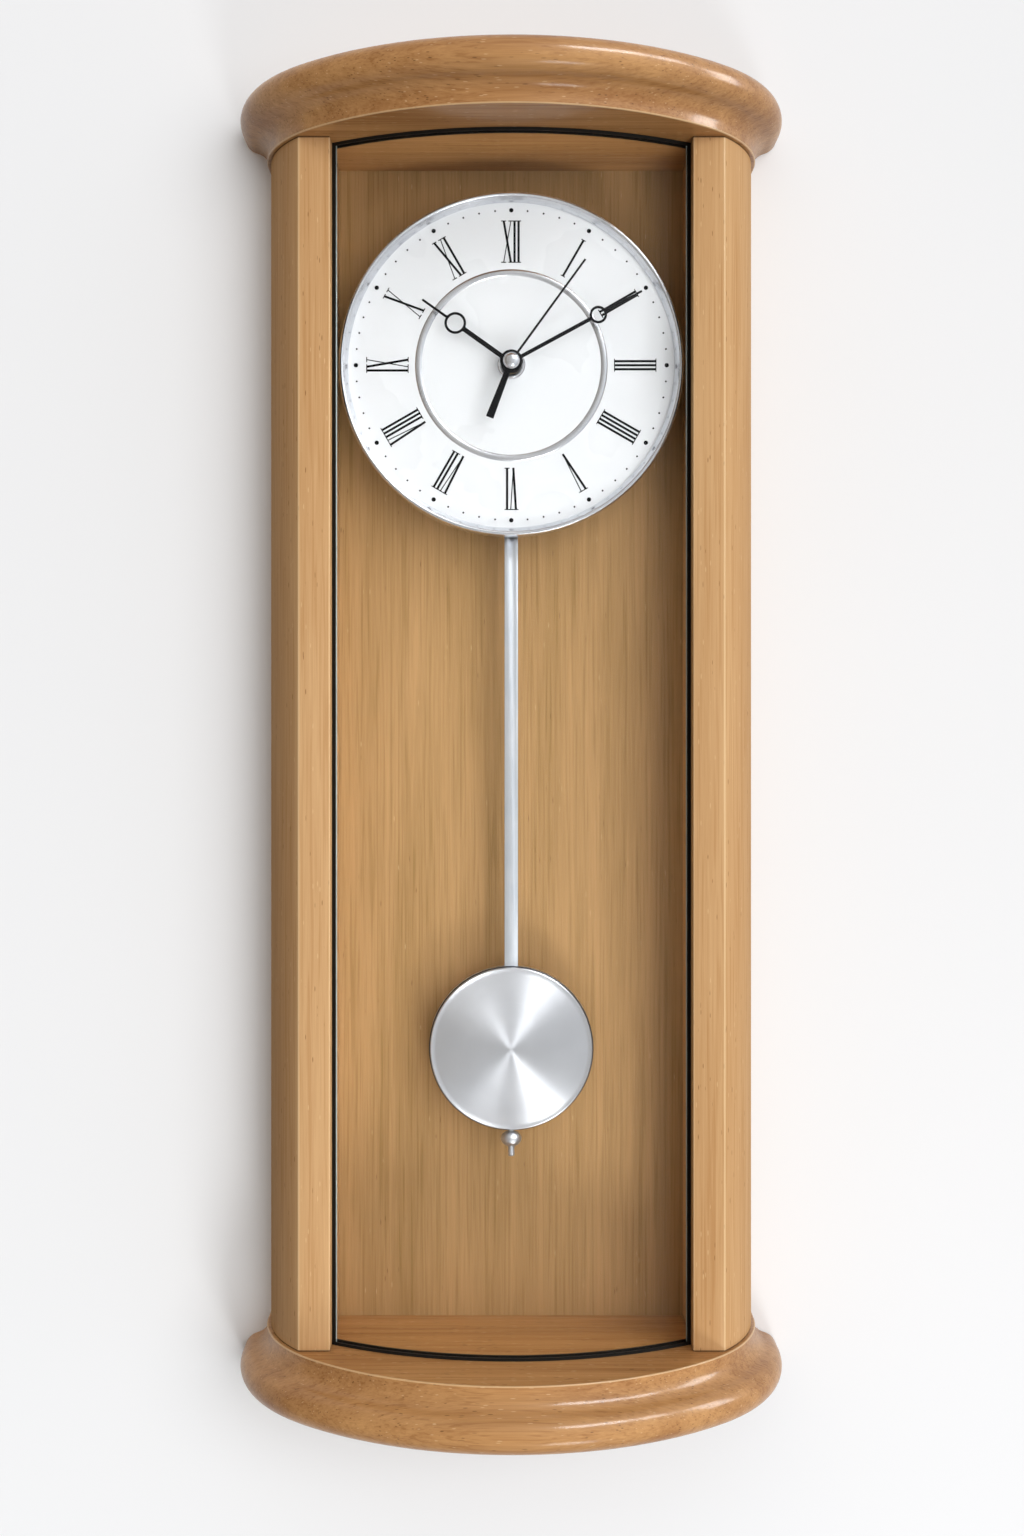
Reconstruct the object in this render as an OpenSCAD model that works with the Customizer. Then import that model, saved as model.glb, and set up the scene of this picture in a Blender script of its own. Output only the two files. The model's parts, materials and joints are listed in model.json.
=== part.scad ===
// Wall clock with a bow front, a curved glass and a swinging pendulum.
// X runs to the right, Z up, and the wall is the plane Y = 0. The front faces -Y.
// The origin is the middle of the hanging hole, in the plane of the wall.
// A depth is a distance in front of the wall, and a height is above the underside of the base.

/* [Case] */
// Height of the glazed opening between base and crown
opening_h = 572; // [420:1:800]
// Thickness of the base and of the crown
board_h = 28; // [24:0.5:36]
// Depth of the moulding's small edge, the lip, at the middle of the bow
lip_depth = 104; // [98:0.5:112]
// Radius of the bow's round ends, at the lip
end_r = 78.5; // [74:0.5:82]
// Depth at which the round ends run straight back to the wall
end_depth = 10; // [6:0.5:14]
// How far the moulding stands out past its lip
moulding_out = 13; // [11:0.5:15]
// Height of the flat band at the lip
moulding_band = 2.5; // [1.5:0.5:4]
// Turn of the hollow of the moulding, in degrees
moulding_turn = 75; // [71:1:79]

/* [Posts] */
// Half of the clear width between the posts
inner_half_w = 85.5; // [84:0.5:92]
// Width of a post
post_w = 33.5; // [31:0.5:40]
// Depth of the posts' front faces
post_depth = 60; // [54:0.5:66]
// How far the posts stand back from the lip
post_inset = 2; // [1:0.25:4]
// Diameter of the dowels in the posts' ends
dowel_d = 8; // [6:0.5:10]
// Length of the dowels
dowel_len = 24; // [16:1:30]
// From the dowels to the front and the rear of the posts
dowel_in = 17; // [14:0.5:20]

/* [Back board] */
// Thickness of the back board
back_t = 6.5; // [4:0.5:8]
// How far the back board reaches into the posts, base and crown
back_lap = 5; // [4:0.5:8]
// Service opening above the hands' axis
service_up = 42; // [38:0.5:50]
// Service opening below the hands' axis
service_down = 66; // [62:0.5:76]
// Board left between the service opening and the dial's spacers
service_edge = 2.6; // [2:0.1:4]
// Radius of the back board's screws
back_screw_r = 1.5; // [1:0.1:2]
// Length of the back board's screws
back_screw_len = 18.5; // [16:0.5:24]
// From the outer back screws to the base and the crown
back_screw_in = 40; // [30:1:60]

/* [Hanger] */
// Thickness of the hanger plate
hanger_t = 1.5; // [1:0.1:2.5]
// Radius of the round part of the hanging hole
hang_r = 5; // [4:0.25:6]
// Width of the slot above it
hang_slot_w = 4.5; // [3:0.25:6]
// Length of the slot from the middle of the hole
hang_slot_len = 12; // [9:0.5:16]
// Middle of the hanging hole below the crown
hang_drop = 27; // [24:0.5:32]

/* [Glass] */
// Thickness of the bent glass
glass_t = 3; // [2:0.25:4]
// Depth of the glass's outer face at the middle
glass_depth = 71.8; // [68:0.2:76]
// How much deeper its middle is than its edges
glass_bow = 23; // [16:0.5:26]
// Wall of the black strips that hold the glass
strip_wall = 1; // [0.8:0.1:1.6]
// Height of the strips that shows
strip_show = 1.4; // [1:0.1:3]
// Depth of the grooves for the strips
strip_sunk = 3; // [2:0.5:5]

/* [Dial] */
// Hands' axis below the crown
dial_down = 103; // [92:1:130]
// Gap between the dial and the posts
dial_gap = 2.5; // [1.5:0.25:5]
// Width of the bezel
bezel_w = 4.3; // [3:0.1:6]
// Depth of the bezel's front edge
bezel_depth = 41; // [38.5:0.5:42]
// Depth of the dial carrier's rear face
dial_depth = 33; // [32:0.5:34]
// Thickness of the steel carrier behind the dial
carrier_t = 1.5; // [1:0.25:2]
// Thickness of the white dial
dial_t = 1.5; // [1:0.25:2]
// Outer radius of the small ring, as a share of the dial's radius
ring_share = 0.56; // [0.5:0.01:0.58]
// Width of the small ring
ring_w = 3.2; // [2:0.1:5]
// Radius at the feet of the numerals, as a share of the dial's
numeral_share = 0.5975; // [0.59:0.0025:0.62]
// Height of the numerals, as a share of the dial's radius
numeral_size = 0.246; // [0.18:0.002:0.25]
// Radius of the circle of minute dots, as a share of the dial's
dot_share = 0.9035; // [0.89:0.0005:0.915]
// Radius of a minute dot
dot_r = 0.45; // [0.3:0.05:0.8]
// Radius of a five-minute dot
big_dot_r = 1.05; // [0.8:0.05:1.4]
// Radius of the circle of the four spacers, as a share of the dial's
spacer_share = 0.795; // [0.77:0.005:0.84]
// Radius of a spacer
spacer_r = 4; // [3:0.25:5]

/* [Hands] */
// Length of the hour hand, as a share of the dial's radius
hour_share = 0.6325; // [0.56:0.0025:0.74]
// Length of the minute hand, as a share of the dial's radius
minute_share = 0.8555; // [0.78:0.0005:0.89]
// Length of the second hand, as a share of the dial's radius
second_share = 0.723; // [0.6:0.001:0.86]
// Length of the second hand's tail, as a share of the dial's radius
tail_share = 0.3495; // [0.24:0.0005:0.4]
// Thickness of the hour and minute hands
hand_t = 0.6; // [0.4:0.1:1]
// Radius of the hour hand's ring
hour_ring_r = 5.2; // [4:0.1:7]
// Radius of the minute hand's ring
minute_ring_r = 4.2; // [3:0.1:6]
// From the axis to the hour hand's ring, as a share of the hand
hour_ring_share = 0.63; // [0.5:0.01:0.72]
// From the axis to the minute hand's ring, as a share of the hand
minute_ring_share = 0.666; // [0.54:0.002:0.76]
// Angle of the hour hand, clockwise from twelve
hour_angle = 305.5; // [0:0.5:359.5]
// Angle of the minute hand, clockwise from twelve
minute_angle = 61.5; // [0:0.5:359.5]
// Angle of the second hand, clockwise from twelve
second_angle = 36; // [0:0.5:359.5]
// Angle from the second hand to its tail
tail_angle = 165; // [150:1:210]
// Radius of the silver cap
cap_r = 4.1; // [3:0.1:5]

/* [Movement] */
// Half width of the movement's case
case_half_w = 28; // [26:0.5:30]
// Top of the movement above the hands' axis
case_up = 30; // [29:0.5:32]
// Bottom of the movement below the hands' axis
case_down = 60; // [58:0.5:61]
// Depth of the movement's rear face
case_depth = 14; // [13.5:0.25:14.5]
// Wall of the movement's case
case_wall = 1.5; // [1:0.1:2]
// Module of the pair of wheels that carries the minute hand
minute_module = 0.5; // [0.45:0.01:0.52]
// Radius of the setting knob
knob_r = 6; // [5:0.25:7.5]
// Radius of the battery
battery_r = 7.2; // [7:0.05:7.25]
// Length of the battery
battery_len = 50.4; // [49.5:0.1:50.5]

/* [Pendulum] */
// Pivot of the pendulum below the hands' axis
pivot_down = 38; // [37:0.5:40]
// From the pivot to the middle of the bob
pendulum_len = 293.5; // [200:0.5:330]
// From the pivot to the stud that carries the rod
hook_len = 25; // [24:0.5:28]
// Depth of the rod's rear face
rod_depth = 27.5; // [27.3:0.1:27.8]
// Width of the rod
rod_w = 6.6; // [5:0.1:9]
// Thickness of the rod
rod_t = 1.5; // [1:0.1:1.6]
// Radius of the bob
bob_r = 40; // [30:0.5:45]
// Depth of the bob's rim, front to back
bob_rim = 6; // [5.5:0.25:8]
// Rise of the bob's face above its rim
bob_rise = 3.2; // [1:0.1:5]
// Wall of the bob
bob_wall = 1; // [0.6:0.1:1.5]
// Radius of the nut under the bob
nut_r = 5; // [4:0.1:7]
// Height of the nut under the bob
nut_h = 7.8; // [6:0.1:10]
// Length of the stud that shows under the nut
stud_show = 4.8; // [3:0.1:8]
// Radius of the stud
stud_r = 1.65; // [1.2:0.05:2]

/* [Hidden] */
$fn = 64;

// Heights above the underside of the base.
base_top = board_h;
crown_z = base_top + opening_h;
clock_h = crown_z + board_h;
hang_z = crown_z - hang_drop;
dial_z = crown_z - dial_down;
pivot_z = dial_z - pivot_down;
hook_z = pivot_z - hook_len;
bob_z = pivot_z - pendulum_len;

// Clearances: slip is left round what is glued or pushed in, run round a shaft that turns.
slip = 0.05;
run = 0.05;
over = 1;

// Widths and radii that follow from the clear width between the posts.
lip_half_w = inner_half_w + post_w + post_inset;
dial_r = inner_half_w - dial_gap;
ring_r = ring_share * dial_r;
numeral_r = numeral_share * dial_r;
numeral_h = numeral_size * dial_r;
dot_circle_r = dot_share * dial_r;
hour_len = hour_share * dial_r;
minute_len = minute_share * dial_r;
second_len = second_share * dial_r;
tail_len = tail_share * dial_r;
hour_ring_at = hour_ring_share * hour_len;
minute_ring_at = minute_ring_share * minute_len;
spacer_xz = spacer_share * dial_r * cos(45);
service_half_w = spacer_xz - spacer_r - service_edge;

// The bow front: one large arc at the front runs into a small arc at each end, and laps it by an angle.
end_x = lip_half_w - end_r;
front_reach = lip_depth - end_r;
front_centre = (pow(front_reach, 2) - pow(end_x, 2) - pow(end_depth, 2)) / (2 * (front_reach - end_depth));
front_r = lip_depth - front_centre;
front_turn = atan2(end_x, end_depth - front_centre);
post_r = end_r - post_inset;
lap = 1.5;
core_out = end_r / 2;

// The moulding: a hollow of one radius runs into a bulge of another.
arc_sum = moulding_out / (1 - cos(moulding_turn));
bulge_z = moulding_band + arc_sum * sin(moulding_turn);
bulge_r = board_h - bulge_z;
hollow_r = arc_sum - bulge_r;
hollow_steps = 7;
bulge_steps = 12;
moulding = concat(
    [[0, 0]],
    [for (i = [0:hollow_steps - 1]) let (a = moulding_turn * i / hollow_steps)
        [hollow_r * (1 - cos(a)), moulding_band + hollow_r * sin(a)]],
    [for (i = [0:bulge_steps]) let (a = -moulding_turn + (90 + moulding_turn) * i / bulge_steps)
        [moulding_out - bulge_r + bulge_r * cos(a), bulge_z + bulge_r * sin(a)]]);

// Depths of the back board and of the rebates that hold it.
back_rear = hanger_t;
back_front = back_rear + back_t;
rebate = back_lap + 0.5;

// Plan of the bent glass.
glass_edge = 1;
glass_half_w = inner_half_w - glass_edge;
glass_r = (pow(inner_half_w, 2) + pow(glass_bow, 2)) / (2 * glass_bow);
glass_centre = glass_r - glass_depth;
strip_half_w = inner_half_w - 0.15;
strip_slip = 0.12;
strip_out = strip_wall + strip_slip;
strip_cap = 1.4;
strip_side = 1.3;
glass_low = base_top - strip_sunk + strip_cap + strip_slip;
glass_high = crown_z + strip_sunk - strip_cap - strip_slip;

// Places of dowels and screws.
dowel_places = [[inner_half_w + 0.43 * post_w, dowel_in],
    [inner_half_w + 0.26 * post_w, post_depth - dowel_in]];
dowel_free = 0.5;
back_screw_x = inner_half_w + back_lap / 2;
back_screw_heights = [for (i = [0:3]) base_top + back_screw_in + i * (opening_h - 2 * back_screw_in) / 3];
back_screw_end = back_rear + back_screw_len;
hanger_screw_x = 18;
hanger_screw_r = 1.5;
hanger_half_w = 24;
hanger_half_h = 17;
hollow_half_w = hang_r + 1;
hollow_floor = 1.5;
spacer_screw_r = 2;
head_rim = 0.4;

// Depths of the dial and of what turns in front of it.
carrier_front = dial_depth + carrier_t;
face_depth = carrier_front + dial_t;
plate_r = dial_r - 1.5;
rim_chamfer = 0.4;
dial_foot = 1;
ring_slope = 1.2;
print_t = 0.12;
numeral_stem = 0.053 * numeral_h;
numeral_hair = 0.022 * numeral_h;
serif_w = 0.12 * numeral_h;
bush_r = 4;
bush_bore_r = 2.55;
bush_front = face_depth + 3.6;
bush_nut_r = 6.8;
bush_nut_t = 2.4;
hour_tube_r = bush_bore_r - run;
minute_bore = 1.55;
minute_tube_r = minute_bore - run;
second_bore = 0.6;
second_r = second_bore - run;
hour_depth = face_depth + 5.2;
minute_depth = hour_depth + 2.8;
second_depth = minute_depth + 2.4;
second_t = 0.5;
boss_r = 5;
second_boss_r = 5.4;
ring_wall = 1.2;
hour_arm_w = 2.3;
minute_arm_w = 1.8;
tip_w = 1.3;
needle_w = 1.1;
tail_w = 2.6;
cap_rise = 3;

// The movement: one set of wheels between the hands, at one centre distance, that turns twelve to one.
cannon_teeth = 12;
inter_teeth = 36;
inter_pinion_teeth = 10;
hour_teeth = 40;
case_front = dial_depth;
inner_front = case_front - case_wall;
cover_rear = case_depth - 1.5;
gear_gap = minute_module * (cannon_teeth + inter_teeth) / 2;
hour_module = 2 * gear_gap / (inter_pinion_teeth + hour_teeth);
hour_layer = inner_front - 2.2;
inter_layer = hour_layer - 2.8;
wheel_t = 1.5;
inter_pin_r = 0.8;
inter_hub_r = 1.5;
disc_r = 6.5;
disc_hub_r = 1.6;
disc_t = 1;
knob_shaft_r = 2;
knob_t = 2.4;
knob_flute_r = 0.7;
knob_rear = cover_rear - 0.5 - knob_t;
battery_up = case_up - battery_r - 2.2;
battery_depth = case_depth + battery_r + 1.5;
battery_free = 0.4;
nub_r = 2.7;
minus_r = 4.6;
jacket_in = 0.5;
contact_t = 0.8;
contact_half_w = 5;
contact_half_d = 4.5;
circuit_x = 11.5;
circuit_low = -24;
circuit_h = 32;
circuit_t = 1.2;
coil_x = -19;
coil_low = -22;
coil_h = 26;
coil_wind_r = 3.6;
flange_r = 4.4;
flange_t = 1.5;
inner_gap = 6;
stator_x = -26;
stator_low = -26;
stator_w = 14;
stator_h = 34;
stator_t = 1.4;
window_w = 6;
window_h = 18;
hook_free = 0.35;
arm_front = rod_depth - hook_free;
arm_rear = arm_front - 4.6;
arm_half_w = 4.5;
pin_r = 1;
pivot_boss_r = 3;
pivot_gap = 0.5;
coil_r = 8;
slot_half_w = 9.5;
magnet_r = 3;
magnet_t = 2.5;
magnet_drop = 12;
hook_r = 1.5;
hook_head_r = 2.4;

// The bob stands round the rod.
bob_rear = rod_depth - 2.2;
bob_front_depth = bob_rear + bob_rim;
bob_sphere = (pow(bob_r, 2) + pow(bob_rise, 2)) / (2 * bob_rise);
nut_top = bob_z - bob_r - 0.35;
nut_low = nut_top - nut_h;
stud_low = nut_low - stud_show;
rod_in = 8;
rod_end = bob_z - bob_r + rod_in;
rod_mid = rod_depth + rod_t / 2;

wood = "#b98a56";
light_wood = "#cfa36d";
steel = "#c3c7cc";
silver = "#d9dce2";

// Moves the clock so that its hanging hole is at the origin.
module hung() {
    translate([0, 0, -hang_z]) children();
}

// A flat shape in X and Z, from one depth to another.
module slab(rear, front) {
    translate([0, -rear, 0]) rotate([90, 0, 0]) linear_extrude(front - rear) children();
}

// A round piece on an axis that runs to the front. Its outline is radius and depth.
module turned(x, z, outline) {
    translate([x, 0, z]) rotate([90, 0, 0]) rotate_extrude() polygon(outline);
}

// A plain round bar on such an axis.
module bar(x, z, r, rear, front) {
    translate([x, -rear, z]) rotate([90, 0, 0]) cylinder(h = front - rear, r = r);
}

// A countersunk screw with its head towards the wall.
module screw(x, z, r, head, end) {
    turned(x, z, [[0, head], [2 * r, head], [2 * r, head + head_rim], [r, head + r + head_rim],
        [r, end], [0, end]]);
}

// A sector of the moulded board about its arc's centre, from the X axis on.
module board_sector(r, turn) {
    outline = concat([[0, 0]], [for (p = moulding) [r + p[0], p[1]]], [[0, board_h]]);
    rotate_extrude(angle = turn, $fn = 128) polygon(outline);
}

// The bow-fronted board with its lip at height 0 and its bulge above. A core inside joins its sections.
module moulded_board() {
    half = [for (p = moulding) [lip_half_w + p[0], p[1]]];
    other = [for (i = [len(half) - 1:-1:0]) [-half[i][0], half[i][1]]];
    slab(0, end_depth) polygon(concat(half, other));
    for (side = [0, 1]) mirror([side, 0, 0]) translate([end_x, -end_depth, 0]) mirror([0, 1, 0])
        board_sector(end_r, 90 - front_turn - lap);
    translate([-end_x - core_out, -end_depth - core_out, 0])
        cube([2 * (end_x + core_out), core_out + end_depth / 2, board_h]);
    intersection() {
        translate([0, -front_centre, 0]) rotate([0, 0, -90 - front_turn - lap])
            board_sector(front_r, 2 * (front_turn + lap));
        translate([-2 * lip_half_w, -2 * lip_depth, -over])
            cube([4 * lip_half_w, 2 * lip_depth, board_h + 2 * over]);
    }
}

// A slice of a ring that follows the bent glass.
module glass_arc(grow, half_w, low, high) {
    intersection() {
        translate([0, glass_centre, low]) difference() {
            cylinder(h = high - low, r = glass_r + grow, $fn = 160);
            translate([0, 0, -over])
                cylinder(h = high - low + 2 * over, r = glass_r - glass_t - grow, $fn = 160);
        }
        translate([-half_w, -2 * glass_depth, low - over])
            cube([2 * half_w, 2 * glass_depth, high - low + 2 * over]);
    }
}

// What is cut from the face of a board that meets the posts: rebate, groove and dowel holes.
module board_cuts() {
    translate([-inner_half_w - rebate, -back_front, -over])
        cube([2 * (inner_half_w + rebate), back_front + over, rebate + over]);
    glass_arc(strip_out + slip, inner_half_w, -over, strip_sunk);
    for (side = [-1, 1], p = dowel_places)
        translate([side * p[0], -p[1], -over]) cylinder(h = dowel_len / 2 + over, r = dowel_d / 2 + slip);
}

module crown() {
    hung() color(wood) translate([0, 0, crown_z]) difference() {
        moulded_board();
        board_cuts();
    }
}

module base() {
    hung() color(wood) translate([0, 0, base_top]) mirror([0, 0, 1]) difference() {
        moulded_board();
        board_cuts();
    }
}

// The plan of the right post: a flat front, a round outer face and a rebate behind.
module post_plan() {
    difference() {
        union() {
            intersection() {
                translate([end_x, -end_depth]) circle(r = post_r, $fn = 128);
                translate([inner_half_w, -post_depth]) square([post_r, post_depth - end_depth]);
            }
            translate([inner_half_w, -end_depth]) square([end_x + post_r - inner_half_w, end_depth]);
        }
        translate([inner_half_w - over, -back_front]) square([rebate + over, back_front + over]);
    }
}

module right_post_solid() {
    difference() {
        translate([0, 0, base_top]) linear_extrude(opening_h) post_plan();
        for (p = dowel_places, z = [base_top - over, crown_z - dowel_len / 2])
            translate([p[0], -p[1], z]) cylinder(h = dowel_len / 2 + over, r = dowel_d / 2 + slip);
        for (z = back_screw_heights)
            bar(back_screw_x, z, back_screw_r + slip, back_front - over, back_screw_end + 1);
    }
}

module right_post() {
    hung() color(light_wood) right_post_solid();
}

module left_post() {
    hung() color(light_wood) mirror([1, 0, 0]) right_post_solid();
}

module dowels() {
    hung() color("#d8b483")
        for (side = [-1, 1], p = dowel_places, z = [base_top, crown_z])
            translate([side * p[0], -p[1], z - dowel_len / 2 + dowel_free])
                cylinder(h = dowel_len - 2 * dowel_free, r = dowel_d / 2);
}

module back_board() {
    half_w = inner_half_w + back_lap;
    head_r = 2 * back_screw_r + slip;
    hung() color(wood) difference() {
        slab(back_rear, back_front) difference() {
            translate([-half_w, base_top - back_lap]) square([2 * half_w, opening_h + 2 * back_lap]);
            translate([-service_half_w, dial_z - service_down])
                square([2 * service_half_w, service_up + service_down]);
        }
        for (side = [-1, 1], z = back_screw_heights)
            turned(side * back_screw_x, z, [[0, back_rear - over], [head_r, back_rear - over],
                [head_r, back_rear + head_rim + slip],
                [back_screw_r + slip, back_rear + head_rim + back_screw_r + slip],
                [back_screw_r + slip, back_front + over], [0, back_front + over]]);
        for (x = [-1, 1], z = [-1, 1])
            spacer_hole(x * spacer_xz, dial_z + z * spacer_xz);
        for (side = [-1, 1])
            bar(side * hanger_screw_x, hang_z, hanger_screw_r + slip, back_rear - over, back_front + over);
        bar(0, hang_z, hollow_half_w, back_rear - over, back_front - hollow_floor);
        slab(back_rear - over, back_front - hollow_floor) translate([-hollow_half_w, hang_z])
            square([2 * hollow_half_w, hang_slot_len + hang_slot_w / 2]);
    }
}

// The hole for one spacer screw, with room for its head.
module spacer_hole(x, z) {
    head_r = 2 * spacer_screw_r + slip;
    turned(x, z, [[0, back_rear - over], [head_r, back_rear - over], [head_r, back_rear + head_rim + slip],
        [spacer_screw_r + slip, back_rear + head_rim + spacer_screw_r + slip],
        [spacer_screw_r + slip, back_front + over], [0, back_front + over]]);
}

module back_screws() {
    hung() color(steel)
        for (side = [-1, 1], z = back_screw_heights)
            screw(side * back_screw_x, z, back_screw_r, back_rear, back_screw_end);
}

// A steel plate with a keyhole, level with the wall.
module hanger_plate() {
    hung() color(steel) difference() {
        slab(0, hanger_t) translate([0, hang_z]) difference() {
            translate([-hanger_half_w, -hanger_half_h]) square([2 * hanger_half_w, 2 * hanger_half_h]);
            translate([-hang_slot_w / 2, 0]) square([hang_slot_w, hang_slot_len]);
        }
        bar(0, hang_z, hang_r, -over, hanger_t + over);
        for (side = [-1, 1])
            turned(side * hanger_screw_x, hang_z, [[0, -over], [2 * hanger_screw_r + slip, -over],
                [2 * hanger_screw_r + slip, 0], [hanger_screw_r + slip, hanger_t],
                [hanger_screw_r + slip, hanger_t + over], [0, hanger_t + over]]);
    }
}

module hanger_screws() {
    hung() color(steel)
        for (side = [-1, 1])
            turned(side * hanger_screw_x, hang_z, [[0, 0], [2 * hanger_screw_r, 0],
                [hanger_screw_r, hanger_t], [hanger_screw_r, back_front - slip], [0, back_front - slip]]);
}

module front_glass() {
    hung() color("#cfe0e4", 0.25) glass_arc(0, glass_half_w, glass_low, glass_high);
}

// A channel round one level edge of the glass.
module level_strip(low, high, slot_low, slot_high) {
    difference() {
        glass_arc(strip_out, strip_half_w, low, high);
        glass_arc(strip_slip, glass_half_w + strip_slip, slot_low, slot_high);
    }
}

module bottom_strip() {
    low = base_top - strip_sunk;
    high = base_top + strip_show;
    hung() color("#16181a") level_strip(low, high, low + strip_cap, high + over);
}

module top_strip() {
    low = crown_z - strip_show;
    high = crown_z + strip_sunk;
    hung() color("#16181a") level_strip(low, high, low - over, high - strip_cap);
}

// A channel round one upright edge of the glass.
module side_strip() {
    intersection() {
        difference() {
            glass_arc(strip_out, strip_half_w, base_top + strip_show, crown_z - strip_show);
            glass_arc(strip_slip, glass_half_w + strip_slip, base_top, crown_z);
        }
        translate([strip_half_w - strip_side - strip_wall / 2, -glass_depth, 0])
            cube([strip_half_w, glass_depth, clock_h]);
    }
}

module right_strip() {
    hung() color("#16181a") side_strip();
}

module left_strip() {
    hung() color("#16181a") mirror([1, 0, 0]) side_strip();
}

module spacers() {
    hung() color(steel) for (x = [-1, 1], z = [-1, 1]) difference() {
        bar(x * spacer_xz, dial_z + z * spacer_xz, spacer_r, back_front, dial_depth);
        bar(x * spacer_xz, dial_z + z * spacer_xz, spacer_screw_r + slip,
            back_front - over, dial_depth + over);
    }
}

module spacer_screws() {
    hung() color(steel) for (x = [-1, 1], z = [-1, 1])
        screw(x * spacer_xz, dial_z + z * spacer_xz, spacer_screw_r, back_rear, carrier_front - 0.2);
}

module dial_carrier() {
    hung() color(steel) difference() {
        bar(0, dial_z, plate_r, dial_depth, carrier_front);
        bar(0, dial_z, bush_r + slip, dial_depth - over, carrier_front + over);
        for (x = [-1, 1], z = [-1, 1])
            bar(x * spacer_xz, dial_z + z * spacer_xz, spacer_screw_r + slip,
                dial_depth - over, carrier_front + over);
    }
}

module dial() {
    hung() color("#f4f6f8") difference() {
        bar(0, dial_z, plate_r, carrier_front, face_depth);
        bar(0, dial_z, bush_r + slip, carrier_front - over, face_depth + over);
    }
}

// The rolled metal rim: a skirt round the dial and a sloped front edge.
module bezel() {
    hung() color(silver) turned(0, dial_z, [
        [plate_r + slip, dial_depth], [dial_r - rim_chamfer, dial_depth], [dial_r, dial_depth + rim_chamfer],
        [dial_r, bezel_depth - 3 * rim_chamfer], [dial_r - rim_chamfer, bezel_depth - rim_chamfer],
        [dial_r - 3 * rim_chamfer, bezel_depth], [dial_r - 5 * rim_chamfer, bezel_depth - rim_chamfer / 2],
        [dial_r - bezel_w, face_depth + dial_foot], [dial_r - bezel_w, face_depth],
        [plate_r + slip, face_depth]]);
}

module dial_ring() {
    hung() color(silver) turned(0, dial_z, [
        [ring_r - ring_w, face_depth], [ring_r, face_depth], [ring_r, face_depth + rim_chamfer],
        [ring_r - ring_slope / 2, face_depth + ring_slope],
        [ring_r - ring_w + ring_slope, face_depth + ring_slope],
        [ring_r - ring_w, face_depth + rim_chamfer]]);
}

// Roman numerals from three letters. A letter's width is where the next one starts.
hours = ["XII", "I", "II", "III", "IIII", "V", "VI", "VII", "VIII", "IX", "X", "XI"];
function letter_w(c) = numeral_h * (c == "I" ? 0.0955 : c == "V" ? 0.2 : 0.248);
function word_w(word, n) = n == 0 ? 0 : letter_w(word[n - 1]) + word_w(word, n - 1);

// One slanted stroke from the foot of a letter to its head.
module stroke(foot, head, w) {
    polygon([[foot - w / 2, 0], [foot + w / 2, 0], [head + w / 2, numeral_h], [head - w / 2, numeral_h]]);
}

// The fine bar across the end of a stroke.
module serif(x, z, w) {
    translate([x - w / 2, z]) square([w, numeral_hair]);
}

module letter(c, w) {
    in = numeral_stem / 2 + numeral_hair / 2;
    head = numeral_h - numeral_hair;
    if (c == "I") {
        stroke(w / 2, w / 2, numeral_stem);
        for (z = [0, head]) serif(w / 2, z, serif_w);
    }
    if (c == "V") {
        stroke(w / 2, in, numeral_stem);
        stroke(w / 2, w - in, numeral_hair);
        for (x = [in, w - in]) serif(x, head, serif_w);
    }
    if (c == "X") {
        stroke(w - in, in, numeral_stem);
        stroke(in, w - in, numeral_hair);
        for (x = [in, w - in], z = [0, head]) serif(x, z, serif_w);
    }
}

module dial_print() {
    hung() color("#0c0d10") translate([0, 0, dial_z]) slab(face_depth, face_depth + print_t) {
        for (h = [0:11]) rotate(-30 * h) translate([-word_w(hours[h], len(hours[h])) / 2, numeral_r])
            for (i = [0:len(hours[h]) - 1])
                translate([word_w(hours[h], i), 0]) letter(hours[h][i], letter_w(hours[h][i]));
        for (m = [0:59]) rotate(-6 * m) translate([0, dot_circle_r])
            circle(r = m % 5 == 0 ? big_dot_r : dot_r, $fn = 24);
    }
}

// A flat wheel with straight-sided teeth, one of them at the given angle.
function tooth_points(n, m, at) = [for (i = [0:n - 1]) let (
    pitch = 360 / n, a = at + pitch * i, r = n * m / 2,
    root = r - 1.15 * m, tip = r + 0.8 * m)
    for (p = [[root, -0.27], [tip, -0.11], [tip, 0.11], [root, 0.27]])
        [p[0] * cos(a + p[1] * pitch), p[0] * sin(a + p[1] * pitch)]];

module wheel(n, m, at, bore, rear, t) {
    slab(rear, rear + t) difference() {
        polygon(tooth_points(n, m, at));
        circle(r = bore, $fn = 32);
    }
}

module tube(bore, r, rear, front) {
    difference() {
        bar(0, 0, r, rear, front);
        bar(0, 0, bore, rear - over, front + over);
    }
}

// Moves a piece to the hands' axis.
module on_axis() {
    hung() translate([0, 0, dial_z]) children();
}

// A straight bar that tapers, from one radius to another.
module arm(from, to, w_from, w_to) {
    polygon([[-w_from / 2, from], [w_from / 2, from], [w_to / 2, to], [-w_to / 2, to]]);
}

// A flat hand with a ring, pointing up.
module ring_hand(len, ring_at, r, wall, arm_w, tip_w, boss, bore) {
    difference() {
        union() {
            circle(r = boss);
            arm(0, ring_at, arm_w, arm_w);
            arm(ring_at, len, tip_w, 0.8 * tip_w);
            translate([0, ring_at]) circle(r = r);
        }
        translate([0, ring_at]) circle(r = r - wall);
        circle(r = bore);
    }
}

module hour_hand() {
    on_axis() color("#101114") slab(hour_depth, hour_depth + hand_t) rotate(-hour_angle)
        ring_hand(hour_len, hour_ring_at, hour_ring_r, ring_wall, hour_arm_w, tip_w, boss_r,
            hour_tube_r + slip);
}

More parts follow.
